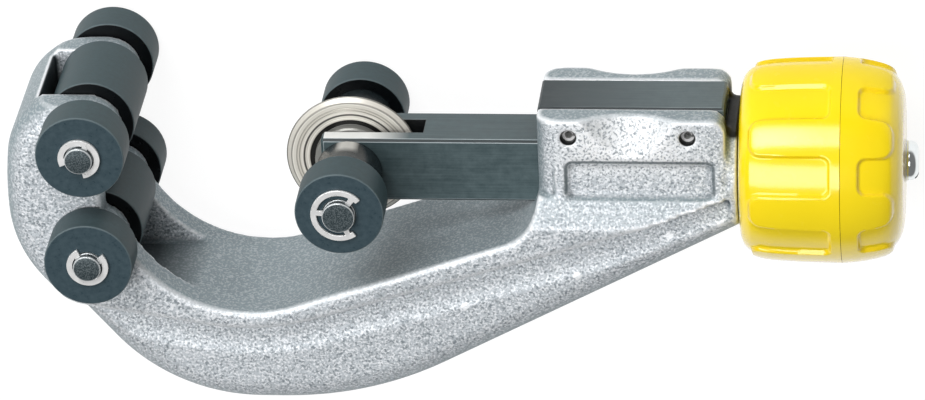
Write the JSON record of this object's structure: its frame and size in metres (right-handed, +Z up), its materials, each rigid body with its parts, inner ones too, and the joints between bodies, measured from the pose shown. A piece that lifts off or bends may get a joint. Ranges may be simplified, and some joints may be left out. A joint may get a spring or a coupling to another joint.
{
  "type": "flex tube cutter",
  "caption": "Hand-held tube cutter with a cast C-frame, forked roller jaw, screw-fed slider carrying a cutting wheel and rollers, and a recessed-grip yellow knob.",
  "frame": {"origin": "on the feed axis in X and Y, at the centre of the cutting wheel axle's lower end face, which lies on the bench with the two jaw axles' lower ends", "axes": "+X along the feed axis, from the forked jaw towards the knob; +Y towards the open side of the C-frame; +Z up, along the roller axles, with the tool lying on its side"},
  "size_m": [0.1952, 0.0773, 0.057],
  "materials": {
    "cast_aluminium": "fine-grained die casting, satin silver grey",
    "blackened_steel": "blackened, ground flat",
    "roller_steel": "blackened, satin turned",
    "wheel_steel": "polished, turned rings",
    "plain_steel": "turned",
    "bright_clip": "bright plated",
    "yellow_plastic": "glossy moulded"
  },
  "bodies": {
    "frame_body": {"frame": "cast_aluminium", "keeper_bar": "blackened_steel", "keeper_pins": "plain_steel", "upper_jaw_axle": "plain_steel", "lower_jaw_axle": "plain_steel", "upper_jaw_clips": "bright_clip", "lower_jaw_clips": "bright_clip", "thrust_washer": "plain_steel"},
    "slider_body": {"slider": "blackened_steel", "wheel_axle": "plain_steel", "wheel_axle_clips": "bright_clip", "front_spacer": "roller_steel", "rear_spacer": "roller_steel"},
    "wheel_body": {"cutting_wheel": "wheel_steel"},
    "slider_front_roller_body": {"slider_front_roller": "roller_steel"},
    "slider_rear_roller_body": {"slider_rear_roller": "roller_steel"},
    "knob_body": {"feed_screw": "plain_steel", "knob_grip": "yellow_plastic", "knob_cap": "yellow_plastic", "end_washer": "bright_clip", "end_screw": "bright_clip"},
    "upper_front_roller_body": {"upper_front_roller": "roller_steel"},
    "upper_rear_roller_body": {"upper_rear_roller": "roller_steel"},
    "upper_middle_roller_body": {"upper_middle_roller": "roller_steel"},
    "lower_front_roller_body": {"lower_front_roller": "roller_steel"},
    "lower_rear_roller_body": {"lower_rear_roller": "roller_steel"},
    "lower_middle_roller_body": {"lower_middle_roller": "roller_steel"}
  },
  "joints": [
    {"name": "knob_turn", "type": "hinge", "parent": "frame_body", "child": "knob_body", "pos_m": [0.095, 0, 0.0285], "axis": [1, 0, 0], "range_deg": [-5760, 1152]},
    {"name": "slider_feed", "type": "slide", "parent": "frame_body", "child": "slider_body", "axis": [1, 0, 0], "range_m": [-0.02, 0.004]},
    {"name": "wheel_spin", "type": "hinge", "parent": "slider_body", "child": "wheel_body", "pos_m": [0, 0, 0.0285], "axis": [0, 0, 1], "continuous": true},
    {"name": "slider_front_roller_spin", "type": "hinge", "parent": "slider_body", "child": "slider_front_roller_body", "pos_m": [0, 0, 0.0285], "axis": [0, 0, 1], "continuous": true},
    {"name": "slider_rear_roller_spin", "type": "hinge", "parent": "slider_body", "child": "slider_rear_roller_body", "pos_m": [0, 0, 0.0285], "axis": [0, 0, 1], "continuous": true},
    {"name": "upper_front_roller_spin", "type": "hinge", "parent": "frame_body", "child": "upper_front_roller_body", "pos_m": [-0.05475, 0.01295, 0.0285], "axis": [0, 0, 1], "continuous": true},
    {"name": "upper_rear_roller_spin", "type": "hinge", "parent": "frame_body", "child": "upper_rear_roller_body", "pos_m": [-0.05475, 0.01295, 0.0285], "axis": [0, 0, 1], "continuous": true},
    {"name": "upper_middle_roller_spin", "type": "hinge", "parent": "frame_body", "child": "upper_middle_roller_body", "pos_m": [-0.05475, 0.01295, 0.0285], "axis": [0, 0, 1], "continuous": true},
    {"name": "lower_front_roller_spin", "type": "hinge", "parent": "frame_body", "child": "lower_front_roller_body", "pos_m": [-0.05475, -0.01295, 0.0285], "axis": [0, 0, 1], "continuous": true},
    {"name": "lower_rear_roller_spin", "type": "hinge", "parent": "frame_body", "child": "lower_rear_roller_body", "pos_m": [-0.05475, -0.01295, 0.0285], "axis": [0, 0, 1], "continuous": true},
    {"name": "lower_middle_roller_spin", "type": "hinge", "parent": "frame_body", "child": "lower_middle_roller_body", "pos_m": [-0.05475, -0.01295, 0.0285], "axis": [0, 0, 1], "continuous": true}
  ],
  "couplings": [
    {"joint": "knob_turn", "follows": "slider_feed", "rad_per_m": 5026.5}
  ]
}
